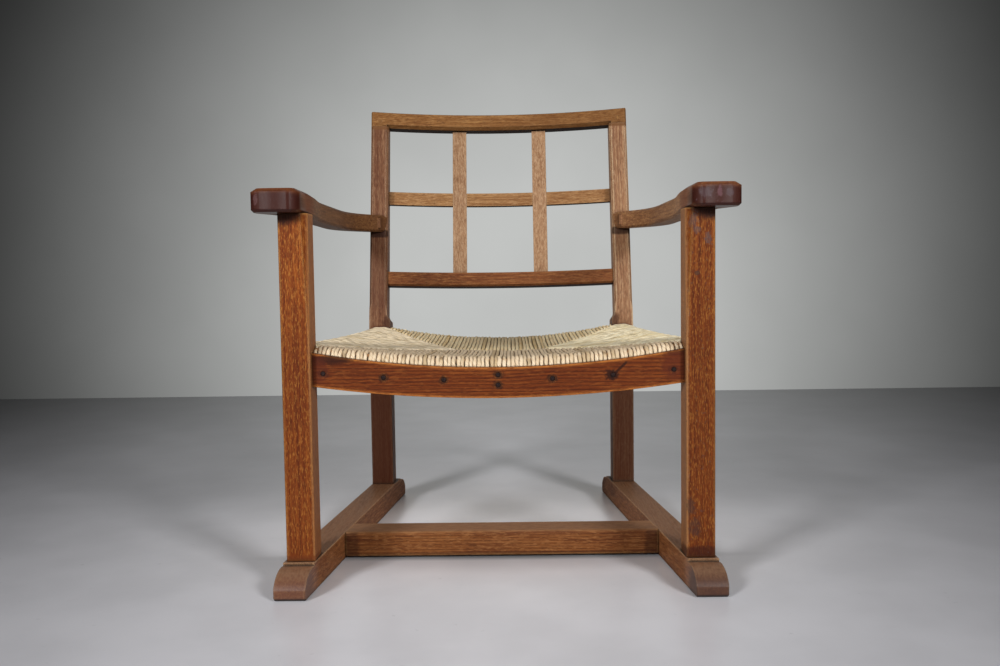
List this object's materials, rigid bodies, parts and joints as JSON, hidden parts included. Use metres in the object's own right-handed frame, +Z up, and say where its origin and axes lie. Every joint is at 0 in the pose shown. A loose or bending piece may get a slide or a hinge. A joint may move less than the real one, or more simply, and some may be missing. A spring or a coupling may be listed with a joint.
{
  "type": "fireside chair",
  "caption": "Low open oak armchair on sledge feet, with level bowed arms, a curved lattice back, a dished rush seat and a pegged shaped apron.",
  "frame": {"origin": "on the floor, under the middle of the chair's outline", "axes": "+X to the sitter's left (right as seen from the front), +Y to the chair's back, +Z up"},
  "size_m": [0.6758, 0.6736, 0.78],
  "materials": {
    "posts": "waxed oak, worn satin",
    "arms": "dark polished oak, glossy from wear",
    "feet": "waxed oak, scuffed",
    "back": "waxed oak, golden brown",
    "apron": "waxed oak, satin",
    "seat_rails": "plain oak",
    "pegs": "dark, weathered",
    "rush": "dry twisted rush"
  },
  "bodies": {
    "root": {"front_post_left": "posts", "front_post_right": "posts", "back_post_left": "posts", "back_post_right": "posts", "arm_left": "arms", "arm_right": "arms", "sled_left": "feet", "sled_right": "feet", "stretcher": "feet", "crest_rail": "back", "lattice_mid_rail": "back", "lattice_bottom_rail": "back", "lattice_slat_left": "back", "lattice_slat_right": "back", "front_apron": "apron", "front_seat_rail": "seat_rails", "back_seat_rail": "seat_rails", "side_seat_rail_left": "seat_rails", "side_seat_rail_right": "seat_rails", "apron_pegs": "pegs", "crest_pegs": "pegs", "rush_front": "rush", "rush_back": "rush", "rush_side_left": "rush", "rush_side_right": "rush"}
  },
  "joints": []
}
